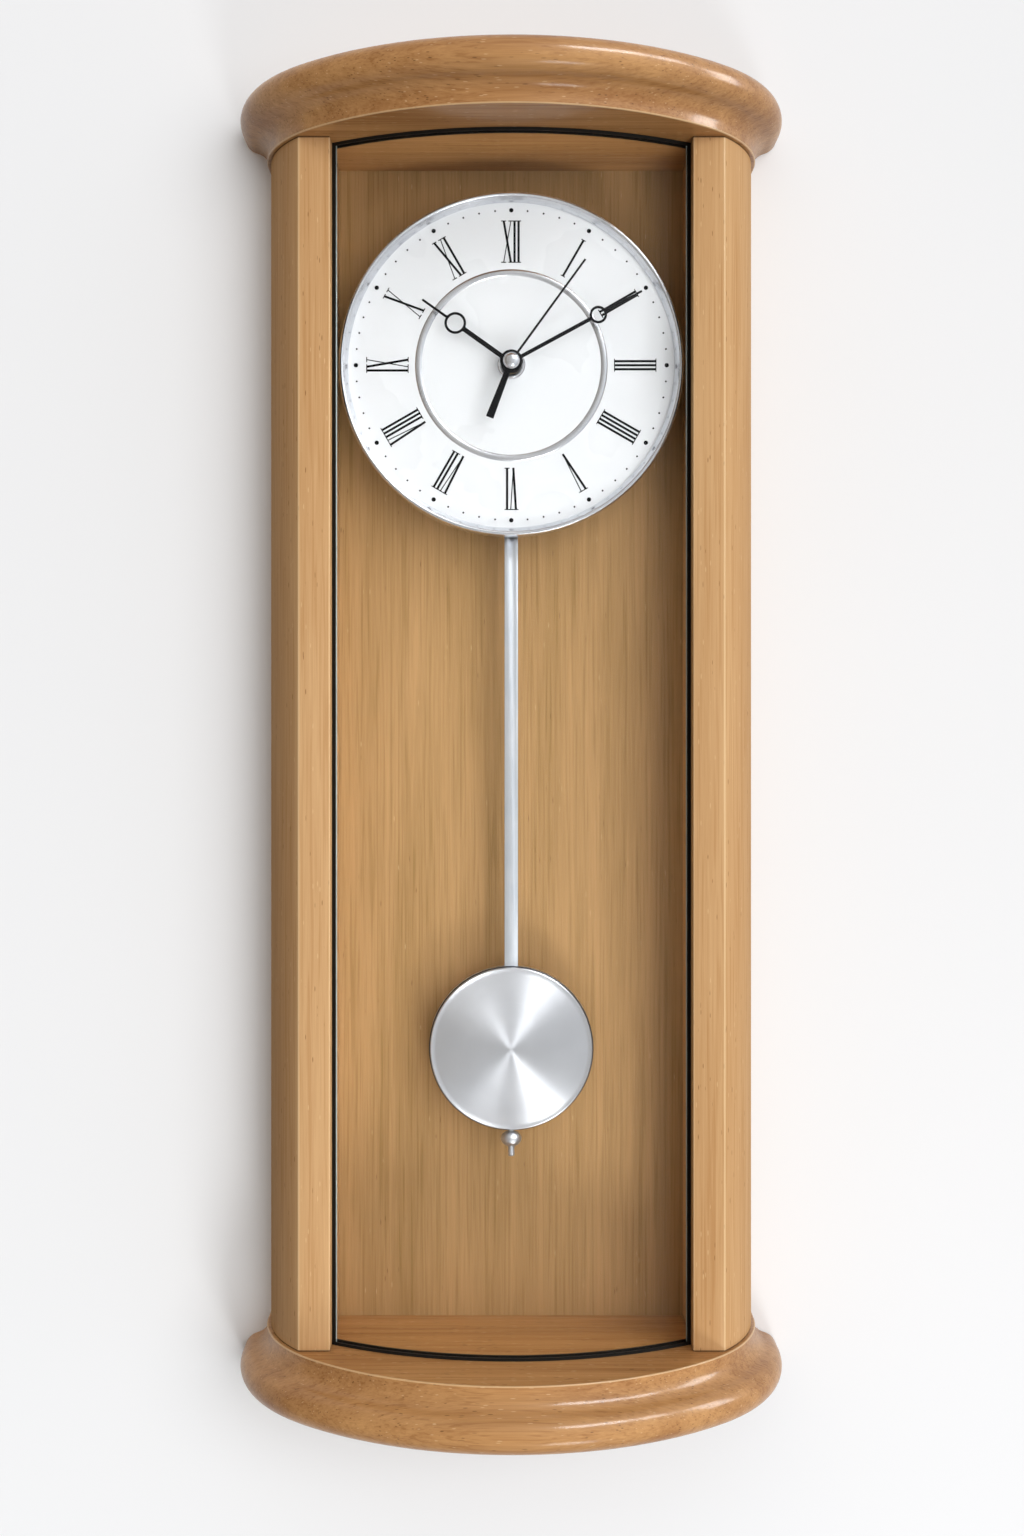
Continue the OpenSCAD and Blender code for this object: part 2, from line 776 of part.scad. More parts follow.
module minute_hand() {
    on_axis() color("#101114") slab(minute_depth, minute_depth + hand_t) rotate(-minute_angle)
        ring_hand(minute_len, minute_ring_at, minute_ring_r, ring_wall, minute_arm_w, tip_w, boss_r,
            minute_tube_r + slip);
}

module second_hand() {
    on_axis() color("#101114") slab(second_depth, second_depth + second_t) rotate(-second_angle) {
        circle(r = second_boss_r);
        arm(0, second_len, needle_w, 0.9 * needle_w);
        rotate(-tail_angle) arm(0, tail_len, tail_w, 1.45 * tail_w);
    }
}

module hand_cap() {
    dome = (pow(cap_r, 2) + pow(cap_rise, 2)) / (2 * cap_rise);
    steps = 12;
    on_axis() color(silver) turned(0, 0, concat([[0, second_depth + second_t]],
        [for (i = [0:steps]) let (a = asin(cap_r / dome) * (1 - i / steps))
            [dome * sin(a), second_depth + second_t + cap_rise - dome * (1 - cos(a))]]));
}

module hour_wheel() {
    on_axis() color("#e9e4d2") {
        wheel(hour_teeth, hour_module, -90, minute_bore, hour_layer, wheel_t);
        tube(minute_bore, hour_tube_r, hour_layer + wheel_t, hour_depth + hand_t);
    }
}

module minute_wheel() {
    on_axis() color("#e9e4d2") {
        wheel(cannon_teeth, minute_module, -90, second_bore, inter_layer, wheel_t);
        tube(second_bore, minute_tube_r, inter_layer + wheel_t, minute_depth + hand_t);
    }
}

module second_arbor() {
    on_axis() color(steel) {
        bar(0, 0, second_r, inter_layer - 4 * disc_t, second_depth);
        bar(0, 0, disc_r, inter_layer - 2.4 * disc_t, inter_layer - 1.4 * disc_t);
        bar(0, 0, disc_hub_r, inter_layer - 1.5 * disc_t, inter_layer - 0.6 * disc_t);
    }
}

// The intermediate wheel and its small wheel, on a pin below the hands' axis.
module intermediate_wheel() {
    on_axis() translate([0, 0, -gear_gap]) color("#e9e4d2") {
        wheel(inter_teeth, minute_module, 90 + 180 / inter_teeth, inter_pin_r + run, inter_layer, wheel_t);
        tube(inter_pin_r + run, inter_hub_r, inter_layer + wheel_t, hour_layer);
        wheel(inter_pinion_teeth, hour_module, 90 + 180 / inter_pinion_teeth, inter_pin_r + run,
            hour_layer, wheel_t + 0.2);
    }
}

// The knob at the back that sets the hands.
module setting_knob() {
    on_axis() translate([0, 0, -2 * gear_gap]) color("#3a3d41") {
        bar(0, 0, knob_shaft_r, knob_rear, inter_layer + wheel_t);
        wheel(cannon_teeth, minute_module, 90, knob_shaft_r / 5, inter_layer, wheel_t);
        slab(knob_rear, knob_rear + knob_t) difference() {
            circle(r = knob_r, $fn = 96);
            for (i = [0:17]) rotate(20 * i) translate([knob_r + knob_flute_r / 2, 0])
                circle(r = knob_flute_r, $fn = 16);
        }
    }
}

module movement_case() {
    on_axis() color("#2b2e31") {
        difference() {
            slab(case_depth, case_front)
                translate([-case_half_w, -case_down]) square([2 * case_half_w, case_up + case_down]);
            slab(case_depth - over, inner_front)
                translate([-case_half_w + case_wall, -case_down + case_wall])
                    square([2 * (case_half_w - case_wall), case_up + case_down - 2 * case_wall]);
            bar(0, 0, bush_r + slip, inner_front - over, case_front + over);
            slab(arm_rear - 1, case_front - case_wall) translate([-slot_half_w, -case_down - over])
                square([2 * slot_half_w, case_wall + 2 * over]);
        }
        translate([0, 0, -gear_gap]) bar(0, 0, inter_pin_r, inter_layer - wheel_t / 2, inner_front);
        difference() {
            translate([0, 0, -pivot_down]) bar(0, 0, pivot_boss_r, arm_front + pivot_gap, inner_front);
            translate([0, 0, -pivot_down]) bar(0, 0, pin_r + slip, arm_front, inner_front + over);
        }
    }
}

module movement_cover() {
    floor_z = battery_up - battery_r - battery_free;
    on_axis() color("#34373b") difference() {
        slab(cover_rear, case_depth) difference() {
            translate([-case_half_w, -case_down]) square([2 * case_half_w, case_up + case_down]);
            translate([-battery_len / 2 - battery_free, floor_z])
                square([battery_len + 2 * battery_free, 2 * (battery_r + battery_free)]);
        }
        translate([0, 0, -2 * gear_gap]) bar(0, 0, knob_shaft_r + run, cover_rear - over, case_depth + over);
        translate([0, 0, -pivot_down]) bar(0, 0, pin_r + slip, cover_rear - over, case_depth + over);
    }
}

module centre_bush() {
    on_axis() color("#c9a35a") {
        tube(bush_bore_r, bush_r, inner_front, bush_front);
    }
}

module bush_nut() {
    on_axis() color(silver) difference() {
        turned(0, 0, [[0, face_depth], [bush_nut_r, face_depth], [bush_nut_r, face_depth + bush_nut_t / 2],
            [bush_nut_r - bush_nut_t / 2, face_depth + bush_nut_t], [0, face_depth + bush_nut_t]]);
        bar(0, 0, bush_r + slip, face_depth - over, face_depth + bush_nut_t + over);
    }
}

module battery() {
    half = battery_len / 2;
    on_axis() color("#5c666e") translate([0, -battery_depth, battery_up]) rotate([0, 90, 0])
        rotate_extrude() polygon([[0, -half], [minus_r, -half], [minus_r, -half + jacket_in],
            [battery_r, -half + jacket_in], [battery_r, half - 4 * jacket_in], [nub_r, half - 3 * jacket_in],
            [nub_r, half], [0, half]]);
}

module battery_contacts() {
    gap = case_half_w - case_wall - battery_len / 2;
    on_axis() color("#c9ccd0") for (side = [-1, 1])
        translate([side * (battery_len + gap + contact_t / 8) / 2 - contact_t / 2,
            -battery_depth - contact_half_d, battery_up - contact_half_w])
                cube([contact_t, 2 * contact_half_d, 2 * contact_half_w]);
}

module circuit_board() {
    on_axis() color("#2f6b45") slab(inner_front - inner_gap, inner_front - inner_gap + circuit_t)
        translate([circuit_x, circuit_low]) square([case_half_w - case_wall - circuit_x, circuit_h]);
}

module motor_coil() {
    on_axis() color("#b4683a") translate([coil_x, -(inner_front - inner_gap), coil_low]) {
        cylinder(h = coil_h, r = coil_wind_r);
        for (z = [-flange_t, coil_h]) translate([0, 0, z]) cylinder(h = flange_t, r = flange_r);
    }
}

module motor_stator() {
    on_axis() color("#9aa0a6") slab(inner_front - stator_t, inner_front)
        translate([stator_x, stator_low]) difference() {
            square([stator_w, stator_h]);
            translate([(stator_w - window_w) / 2, (stator_h - window_h) / 2]) square([window_w, window_h]);
        }
}

module drive_coil() {
    on_axis() color("#b4683a") translate([0, 0, -pivot_down - magnet_drop]) difference() {
        bar(0, 0, coil_r, case_depth, case_depth + coil_r / 2);
        bar(0, 0, coil_r / 4, case_depth - over, case_depth + coil_r / 2 + over);
    }
}

module pivot_pin() {
    on_axis() color(steel) translate([0, 0, -pivot_down]) bar(0, 0, pin_r, cover_rear, inner_front);
}

// The arm that the movement rocks, with the stud that the rod hangs on.
module pendulum_hanger() {
    hung() color("#3a3d41") difference() {
        union() {
            slab(arm_rear, arm_front) {
                translate([-arm_half_w, hook_z - 2 * hook_r])
                    square([2 * arm_half_w, hook_len + 2 * hook_r]);
                translate([0, pivot_z]) circle(r = arm_half_w);
            }
            bar(0, hook_z, hook_r, arm_front, rod_depth + rod_t + hook_free);
            bar(0, hook_z, hook_head_r, rod_depth + rod_t + hook_free, rod_depth + rod_t + 4 * hook_free);
        }
        bar(0, pivot_z, pin_r + run, arm_rear - over, arm_front + over);
        bar(0, pivot_z - magnet_drop, magnet_r + slip, arm_rear - over, arm_rear + magnet_t + slip);
    }
}

module drive_magnet() {
    hung() color("#8d9298") bar(0, pivot_z - magnet_drop, magnet_r, arm_rear, arm_rear + magnet_t);
}

module pendulum_rod() {
    hung() color("#c9d3df") slab(rod_depth, rod_depth + rod_t) difference() {
        translate([-rod_w / 2, rod_end]) square([rod_w, hook_z + hook_head_r + 1 - rod_end]);
        translate([0, hook_z]) circle(r = hook_r + slip);
    }
}

// The bob's face and rim, open behind, with slots for the rod and its stud.
module bob_front() {
    ball_depth = bob_front_depth + bob_rise - bob_sphere;
    hung() color(silver) difference() {
        intersection() {
            bar(0, bob_z, bob_r, bob_rear, bob_front_depth + bob_rise + over);
            translate([0, -ball_depth, bob_z]) rotate([90, 0, 0]) sphere(r = bob_sphere, $fn = 200);
        }
        intersection() {
            bar(0, bob_z, bob_r - bob_wall, bob_rear - over, bob_front_depth + bob_rise + over);
            translate([0, -ball_depth, bob_z]) rotate([90, 0, 0])
                sphere(r = bob_sphere - bob_wall, $fn = 200);
        }
        slab(rod_depth - slip, rod_depth + rod_t + slip)
            translate([-rod_w / 2 - slip, bob_z]) square([rod_w + 2 * slip, bob_r + over]);
        translate([0, -rod_mid, bob_z - bob_r - over]) cylinder(h = rod_in, r = stud_r + slip);
    }
}

module bob_back() {
    hung() color("#aab0b8") bar(0, bob_z, bob_r - bob_wall - slip, bob_rear, rod_mid - stud_r - 0.1);
}

// The threaded end under the rod.
module rod_stud() {
    hung() color(steel) translate([0, -rod_mid, 0]) rotate_extrude()
        polygon([[0, stud_low], [0.6 * stud_r, stud_low], [stud_r, stud_low + 0.4 * stud_r],
            [stud_r, rod_end], [0, rod_end]]);
}

// The flattened ball that carries the bob and turns on the stud.
module rating_nut() {
    bore = stud_r + run;
    from = asin(bore / nut_r);
    steps = 16;
    hung() color(silver) translate([0, -rod_mid, (nut_top + nut_low) / 2]) rotate_extrude()
        polygon([for (i = [0:steps]) let (a = -90 + from + (180 - 2 * from) * i / steps)
            [nut_r * cos(a), nut_h / 2 * sin(a)]]);
}

back_board();
left_post();
right_post();
crown();
base();
dowels();
back_screws();
hanger_plate();
hanger_screws();
front_glass();
top_strip();
bottom_strip();
left_strip();
right_strip();
spacers();
spacer_screws();
dial_carrier();
dial();
dial_print();
bezel();
dial_ring();
movement_case();
movement_cover();
centre_bush();
bush_nut();
battery();
battery_contacts();
circuit_board();
motor_coil();
motor_stator();
drive_coil();
pivot_pin();
hour_hand();
hour_wheel();
minute_hand();
minute_wheel();
second_hand();
second_arbor();
hand_cap();
intermediate_wheel();
setting_knob();
pendulum_hanger();
drive_magnet();
pendulum_rod();
bob_front();
bob_back();
rod_stud();
rating_nut();
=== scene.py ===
import json
from math import asin, atan2, cos, pi, radians, sin

import bmesh
import bpy
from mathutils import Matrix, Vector

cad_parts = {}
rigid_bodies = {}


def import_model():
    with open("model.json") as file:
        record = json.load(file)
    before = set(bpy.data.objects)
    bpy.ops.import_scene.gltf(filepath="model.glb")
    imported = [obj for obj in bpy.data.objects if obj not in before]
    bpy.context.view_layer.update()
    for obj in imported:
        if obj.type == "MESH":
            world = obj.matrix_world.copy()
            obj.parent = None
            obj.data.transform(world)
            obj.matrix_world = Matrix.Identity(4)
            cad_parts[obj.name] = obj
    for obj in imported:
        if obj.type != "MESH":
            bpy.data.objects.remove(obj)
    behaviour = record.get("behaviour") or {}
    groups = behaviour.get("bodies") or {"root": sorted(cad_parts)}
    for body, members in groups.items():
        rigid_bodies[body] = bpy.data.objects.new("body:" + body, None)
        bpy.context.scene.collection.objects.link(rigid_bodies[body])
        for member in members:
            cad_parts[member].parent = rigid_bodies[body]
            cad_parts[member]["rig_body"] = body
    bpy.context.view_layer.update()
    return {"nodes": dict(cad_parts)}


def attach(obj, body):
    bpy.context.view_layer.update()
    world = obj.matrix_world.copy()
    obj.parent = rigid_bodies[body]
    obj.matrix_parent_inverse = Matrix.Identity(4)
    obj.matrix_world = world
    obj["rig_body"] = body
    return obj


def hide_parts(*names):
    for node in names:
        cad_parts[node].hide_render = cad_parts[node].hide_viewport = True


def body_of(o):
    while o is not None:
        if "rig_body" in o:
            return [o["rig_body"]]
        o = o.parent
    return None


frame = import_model()

# Camera. It stands straight in front of the clock, a little below its middle, and looks level at
# the wall. It is near enough that the soffit of the crown and the top of the base both show.
scene = bpy.context.scene
scene.view_settings.view_transform = "Standard"
camera = bpy.data.objects.new("camera", bpy.data.cameras.new("camera"))
scene.collection.objects.link(camera)
camera.location = (-0.0045, -0.888, -0.2525)
camera.rotation_euler = (radians(90), 0, 0)
camera.data.lens = 41.25
camera.data.shift_x = 0.0065
camera.data.shift_y = -0.0247
scene.camera = camera

# Crown and base. Each is one board of stained beech, moulded round its front and its ends with
# a small band, a hollow and a bulge, then lacquered. Both are the same board, one turned over.
# Lengths here and below are in millimetres; Y is minus the depth in front of the wall.
CROWN_Z, BASE_Z, BOARD = 27, -545, 28
BAND_OUT, BAND, LIP = 121, 2.5, 0.6
MOULDING_OUT, MOULDING_TURN = 13, radians(75)
# The round ends' centre, and the depth of the centre of the bowed front, which lies in the wall.
END_X, END_DEPTH = 42.5, 10
FRONT_CENTRE = -40.516
FRONT_TURN = atan2(END_X, END_DEPTH - FRONT_CENTRE)
# Points nearer than CLOSE are at the same place, and fine meshes are welded within WELD.
CLOSE, WELD = 0.01, 0.002


def colour(code):
    """A linear colour from an sRGB hex code."""
    parts = [int(code[i:i + 2], 16) / 255 for i in (1, 3, 5)]
    return [p / 12.92 if p <= 0.04045 else ((p + 0.055) / 1.055) ** 2.4 for p in parts] + [1]


def add(material, kind, inputs=None, **settings):
    """Adds a node to a material. An input is a value, or another node's output to link."""
    node = material.node_tree.nodes.new("ShaderNode" + kind)
    for name, value in settings.items():
        setattr(node, name, value)
    for name, value in (inputs or {}).items():
        if isinstance(value, bpy.types.NodeSocket):
            material.node_tree.links.new(value, node.inputs[name])
        else:
            node.inputs[name].default_value = value
    return node.outputs


def new_material(name):
    material = bpy.data.materials.new(name)
    material.use_nodes = True
    material.node_tree.nodes.clear()
    return material


# Pale wood for flecks, and for arrises as wear and painted highlight; dark painted shadow at joints.
PALE_WEAR_AND_HIGHLIGHT, JOINT_SHADOW_TONE = "#F0D2A4", "#3A2414"


def wood(name, along, pale, dark, pore, pores, figure, lines, gloss, coat, roughness=0.4, ends=None):
    """Stained and lacquered wood. The grain runs along axis 0, 1 or 2.

    Broad streaks, thin crisp lines and fine fibres change the tone, and short marks lie among them:
    a share of them dark pores, fewer of them pale flecks. Arrises are painted paler, partly wear and
    partly a painted highlight, and the last millimetre at the ends, which are two heights in metres,
    is painted dark as the shadow in the joints.
    """
    m = new_material(name)
    place = add(m, "TexCoord")["Object"]

    def grain(across, length):
        """Coordinates in which a pattern's cell is so many millimetres wide and long."""
        scale = [1000 / across] * 3
        scale[along] = 1000 / length
        return add(m, "Mapping", {"Vector": place, "Scale": scale})[0]

    streaks = add(m, "TexNoise", {"Vector": grain(26, 330), "Scale": 1, "Detail": 3, "Distortion": 0.6})[0]
    bands = add(m, "TexNoise", {"Vector": grain(5, 160), "Scale": 1, "Detail": 2, "Distortion": 0.4})[0]
    hairs = add(m, "TexNoise", {"Vector": grain(1.1, 70), "Scale": 1, "Detail": 1, "Distortion": 0.3})[0]
    fibres = add(m, "TexNoise", {"Vector": grain(0.6, 24), "Scale": 1, "Detail": 3, "Roughness": 0.6})[0]
    broad = add(m, "MapRange", {
        "Value": streaks, "From Min": 0.36, "From Max": 0.66, "To Max": 0.4 * figure})[0]
    middle = add(m, "MapRange", {
        "Value": bands, "From Min": 0.35, "From Max": 0.7, "To Max": 0.26 * figure})[0]
    thin = add(m, "MapRange", {"Value": hairs, "From Min": 0.56, "From Max": 0.66, "To Max": lines})[0]
    bare = add(m, "MapRange", {"Value": hairs, "From Min": 0.42, "From Max": 0.34, "To Max": lines / 2})[0]
    fine = add(m, "MapRange", {"Value": fibres, "From Min": 0.35, "From Max": 0.7, "To Max": 0.25})[0]
    wide = add(m, "Math", {0: broad, 1: middle}, operation="ADD")[0]
    narrow = add(m, "Math", {0: thin, 1: fine}, operation="ADD")[0]
    depth = add(m, "Math", {0: wide, 1: narrow}, operation="ADD")[0]
    depth = add(m, "Math", {0: depth, 1: bare}, operation="SUBTRACT", use_clamp=True)[0]
    tone = add(m, "Mix", {0: depth, 6: colour(pale), 7: colour(dark)}, data_type="RGBA")[2]

    cells = add(m, "TexVoronoi", {"Vector": grain(1.1, 7), "Scale": 1})
    mark = add(m, "MapRange", {"Value": cells["Distance"], "From Min": 0.23, "From Max": 0.14})[0]
    lot = add(m, "SeparateColor", {0: cells["Color"]})[0]
    patch = add(m, "MapRange", {"Value": bands, "From Min": 0.4, "From Max": 0.55})[0]
    patch = add(m, "Math", {0: mark, 1: patch}, operation="MULTIPLY")[0]
    drawn = add(m, "Math", {0: lot, 1: 1 - pores}, operation="GREATER_THAN")[0]
    pore_here = add(m, "Math", {0: drawn, 1: patch}, operation="MULTIPLY")[0]
    drawn = add(m, "Math", {0: lot, 1: 0.6 * pores}, operation="LESS_THAN")[0]
    fleck_here = add(m, "Math", {0: drawn, 1: mark}, operation="MULTIPLY")[0]
    # Arrises painted paler: partly wear, partly a painted highlight.
    arris_wear_and_highlight = add(m, "Attribute", attribute_name="painted_edges")["Fac"]
    layers = [(fleck_here, 0.35, PALE_WEAR_AND_HIGHLIGHT), (pore_here, 0.75, pore), (arris_wear_and_highlight, 0.45, PALE_WEAR_AND_HIGHLIGHT)]
    # Painted shadow in the joints: the last millimetre at each end is darkened.
    if ends:
        height = add(m, "SeparateXYZ", {0: place})[2]
        height = add(m, "Math", {0: height, 1: sum(ends) / 2}, operation="SUBTRACT")[0]
        height = add(m, "Math", {0: height}, operation="ABSOLUTE")[0]
        half = (ends[1] - ends[0]) / 2
        joint_shadow = add(m, "MapRange", {
            "Value": height, "From Min": half - 0.0009, "From Max": half - 0.0005})[0]
        layers.append((joint_shadow, 0.8, JOINT_SHADOW_TONE))
    for here, strength, code in layers:
        share = add(m, "Math", {0: here, 1: strength}, operation="MULTIPLY")[0]
        tone = add(m, "Mix", {0: share, 6: tone, 7: colour(code)}, data_type="RGBA")[2]

    shine = add(m, "MapRange", {"Value": fibres, "From Min": 0.3, "From Max": 0.7,
                                "To Min": roughness - 0.05, "To Max": roughness + 0.08})[0]
    relief = add(m, "Math", {0: fibres, 1: pore_here}, operation="SUBTRACT")[0]
    bump = add(m, "Bump", {"Height": relief, "Strength": 0.12, "Distance": 0.00025})[0]
    shader = add(m, "BsdfPrincipled", {
        "Base Color": tone, "Roughness": shine, "Normal": bump, "IOR": 1.5, "Specular IOR Level": gloss,
        "Coat Weight": coat, "Coat Roughness": 0.14, "Coat IOR": 1.45})[0]
    add(m, "OutputMaterial", {"Surface": shader})
    return m


def mark_painted_edges(bm, faces):
    """Marks narrow faces for painted tone: paler on wood as wear and highlight, darker on metal as shade.
    """
    bm.faces.index_update()
    numbers = [face.index for face in faces]
    layer = bm.faces.layers.float.new("painted_edges")
    bm.faces.ensure_lookup_table()
    for number in numbers:
        bm.faces[number][layer] = 1


def fit(bm, name, body, materials, nodes, sharp=32):
    """Makes a piece of a mesh drawn in millimetres. It rides on a body in place of its CAD nodes."""
    bmesh.ops.recalc_face_normals(bm, faces=bm.faces)
    bmesh.ops.scale(bm, vec=(0.001, 0.001, 0.001), verts=bm.verts)
    mesh = bpy.data.meshes.new(name)
    bm.to_mesh(mesh)
    bm.free()
    for material in materials:
        mesh.materials.append(material)
    mesh.shade_smooth()
    mesh.set_sharp_from_angle(angle=radians(sharp))
    piece = bpy.data.objects.new(name, mesh)
    scene.collection.objects.link(piece)
    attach(piece, body)
    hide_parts(*nodes)


def only(things, kind):
    return [thing for thing in things if isinstance(thing, kind)]


def moulded_board(up, z):
    """The moulding's section is drawn at the right end and carried round the board's plan."""
    bm = bmesh.new()
    arcs = MOULDING_OUT / (1 - cos(MOULDING_TURN))
    bulge_z = BAND + arcs * sin(MOULDING_TURN)
    bulge_r = BOARD - bulge_z
    hollow_r = arcs - bulge_r

    def arc(point, centre, angle, steps):
        result = bmesh.ops.spin(bm, geom=point, cent=centre, axis=(0, 1, 0), angle=angle, steps=steps)
        return only(result["geom_last"], bmesh.types.BMVert)

    point = bmesh.ops.create_vert(bm, co=(BAND_OUT - LIP, 0, 0))["vert"]
    point = arc(point, (BAND_OUT - LIP, 0, LIP), -pi / 2, 4)
    point = bmesh.ops.extrude_vert_indiv(bm, verts=point)["verts"]
    point[0].co.z = BAND
    point = arc(point, (BAND_OUT + hollow_r, 0, BAND), MOULDING_TURN, 10)
    arc(point, (BAND_OUT + MOULDING_OUT - bulge_r, 0, bulge_z), -MOULDING_TURN - pi / 2, 22)

    def carry(edges, centre, angle, steps):
        geom = edges + list({v for e in edges for v in e.verts})
        result = bmesh.ops.spin(bm, geom=geom, cent=centre, axis=(0, 0, 1), angle=angle, steps=steps)
        return only(result["geom_last"], bmesh.types.BMEdge)

    def straight(edges, y):
        result = bmesh.ops.extrude_edge_only(bm, edges=edges)["geom"]
        bmesh.ops.translate(bm, vec=(0, y, 0), verts=only(result, bmesh.types.BMVert))
        return only(result, bmesh.types.BMEdge)

    ring = straight(bm.edges[:], -END_DEPTH)
    ring = carry(ring, (END_X, -END_DEPTH, 0), FRONT_TURN - pi / 2, 20)
    ring = carry(ring, (0, -FRONT_CENTRE, 0), -2 * FRONT_TURN, 56)
    ring = carry(ring, (-END_X, -END_DEPTH, 0), FRONT_TURN - pi / 2, 20)
    straight(ring, END_DEPTH)
    bmesh.ops.remove_doubles(bm, verts=bm.verts, dist=CLOSE)
    for height in (0, BOARD):
        corners = [v for v in bm.verts if abs(v.co.y) < CLOSE and abs(v.co.z - height) < CLOSE]
        corners.sort(key=lambda v: v.co.x)
        bm.edges.new((corners[0], corners[-1]))
    bmesh.ops.holes_fill(bm, edges=[e for e in bm.edges if len(e.link_faces) < 2], sides=0)
    # The lip's faces are painted pale: partly wear, partly a painted highlight.
    mark_painted_edges(bm, [f for f in bm.faces if CLOSE < f.calc_center_median().z < LIP - CLOSE])
    if not up:
        bmesh.ops.scale(bm, vec=(1, 1, -1), verts=bm.verts)
    bmesh.ops.translate(bm, vec=(0, 0, z), verts=bm.verts)
    return bm


# Beech stained to a mid brown and sprayed with satin lacquer: short dark pores, a soft sheen on
# the rounds, and a lip painted pale, partly as wear and partly as a painted highlight.
beech_level = wood("lacquered_beech_level_grain", 0, "#C6955F", "#9C6B3D", "#5A3A20", pores=0.5, figure=1.3,
                   lines=0.3, gloss=0.14, coat=0.4)
fit(moulded_board(True, CROWN_Z), "crown_board", "case", [beech_level], ["crown"], 40)
fit(moulded_board(False, BASE_Z), "base_board", "case", [beech_level], ["base"], 40)

# Posts. Upright beech, flat in front and rounded outside to follow the boards, with a rebate
# behind for the back board. Their arrises are eased and their ends stand on the boards.
INNER, POST_DEPTH, POST_R = 85.5, 60, 76.5
REBATE, REBATE_DEPTH, EASE = 91, 8, 0.55
# The same beech sawn along the grain: straight lines, few pores, and painted shadow at its end joints.
post_beech = wood("lacquered_beech_upright_grain", 2, "#D0A778", "#B88A5A", "#80552F", pores=0.16,
                  figure=0.8, lines=0.35, gloss=0.0, coat=0.08, roughness=0.45,
                  ends=(BASE_Z / 1000, CROWN_Z / 1000))


def edges_over(bm, angle):
    """The edges whose faces meet at more than an angle in degrees."""
    return [e for e in bm.edges if len(e.link_faces) == 2 and e.calc_face_angle(0) > radians(angle)]


def post(side):
    """The plan of a post, drawn at the right side, raised from the base to the crown."""
    bm = bmesh.new()
    outer = asin((POST_DEPTH - END_DEPTH) / POST_R)
    start = bmesh.ops.create_vert(bm, co=(END_X + POST_R * cos(outer), -POST_DEPTH, BASE_Z))["vert"]
    bmesh.ops.spin(bm, geom=start, cent=(END_X, -END_DEPTH, BASE_Z), axis=(0, 0, 1), angle=outer, steps=18)
    bm.verts.ensure_lookup_table()
    chain = sorted(bm.verts, key=lambda v: v.co.y)
    for x, depth in ((END_X + POST_R, 0), (REBATE, 0), (REBATE, REBATE_DEPTH), (INNER, REBATE_DEPTH),
                     (INNER, POST_DEPTH)):
        chain.append(bm.verts.new((x, -depth, BASE_Z)))
    plan = bm.faces.new(chain)
    top = bmesh.ops.extrude_face_region(bm, geom=[plan])["geom"]
    bmesh.ops.translate(bm, vec=(0, 0, CROWN_Z - BASE_Z), verts=only(top, bmesh.types.BMVert))
    bmesh.ops.recalc_face_normals(bm, faces=bm.faces)
    eased_arrises = bmesh.ops.bevel(bm, geom=edges_over(bm, 30), offset=EASE, segments=3, profile=0.5,
                           affect="EDGES", material=-1)
    # The eased arrises are painted pale: partly wear, partly a painted highlight.
    mark_painted_edges(bm, eased_arrises["faces"])
    if side < 0:
        bmesh.ops.scale(bm, vec=(-1, 1, 1), verts=bm.verts)
    return bm


fit(post(1), "post_right", "case", [post_beech], ["right_post"])
fit(post(-1), "post_left", "case", [post_beech], ["left_post"])


# Back board. Plywood screwed into the rebates, with an upright oak veneer in a thin satin
# lacquer. The hidden dowels share its finish.
def dress(material, *names):
    """Gives CAD solids whose shape is right their finish."""
    for name in names:
        for slot in frame["nodes"][name].material_slots:
            slot.material = material


# Sliced oak glued upright: straight even grain with hardly a pore, duller than the frame.
veneer = wood("satin_oak_veneer", 2, "#BE9768", "#957649", "#785839", pores=0.05, figure=0.8, lines=0.3,
              gloss=0.05, coat=0.0, roughness=0.5)
dress(veneer, "back_board", "dowels")

# Bent glass. One sheet, 3 mm thick, curved to a plain arc and clear all through. Its coat against
# reflections leaves about a seventh of plain glass's mirror image, so its IOR is low. Its ground
# edges sit in the channels.
GLASS_R, GLASS_T, GLASS_CENTRE, GLASS_HALF = 170.4, 3, 98.6, 84.5
GROOVE = 1.48
GLASS_LOW, GLASS_HIGH = BASE_Z - GROOVE, CROWN_Z + GROOVE

# Float glass bent over a mould: clear, hardly tinted, with a faint waviness in its shine. Lamps
# light what is behind it.
glass = new_material("clear_bent_glass")
haze = add(glass, "TexNoise", {"Vector": add(glass, "TexCoord")["Object"], "Scale": 14, "Detail": 2})[0]
haze = add(glass, "MapRange", {"Value": haze, "To Min": 0.0, "To Max": 0.03})[0]
sheet = add(glass, "BsdfPrincipled", {
    "Base Color": colour("#F5F6F6"), "Roughness": haze, "IOR": 1.16, "Transmission Weight": 1})[0]
clear = add(glass, "BsdfTransparent")[0]
lit = add(glass, "LightPath")["Is Shadow Ray"]
add(glass, "OutputMaterial", {"Surface": add(glass, "MixShader", {0: lit, 1: sheet, 2: clear})[0]})

# The same glass where it is cut and ground: grey green and matt.
ground = new_material("ground_glass_edge")
grit = add(ground, "TexNoise", {"Vector": add(ground, "TexCoord")["Object"], "Scale": 3000})[0]
tone = add(ground, "Mix", {0: grit, 6: colour("#8E9B97"), 7: colour("#A9B4B0")}, data_type="RGBA")[2]
bump = add(ground, "Bump", {"Height": grit, "Strength": 0.3, "Distance": 0.0001})[0]
add(ground, "OutputMaterial", {"Surface": add(ground, "BsdfPrincipled", {
    "Base Color": tone, "Roughness": 0.75, "Normal": bump, "IOR": 1.5})[0]})

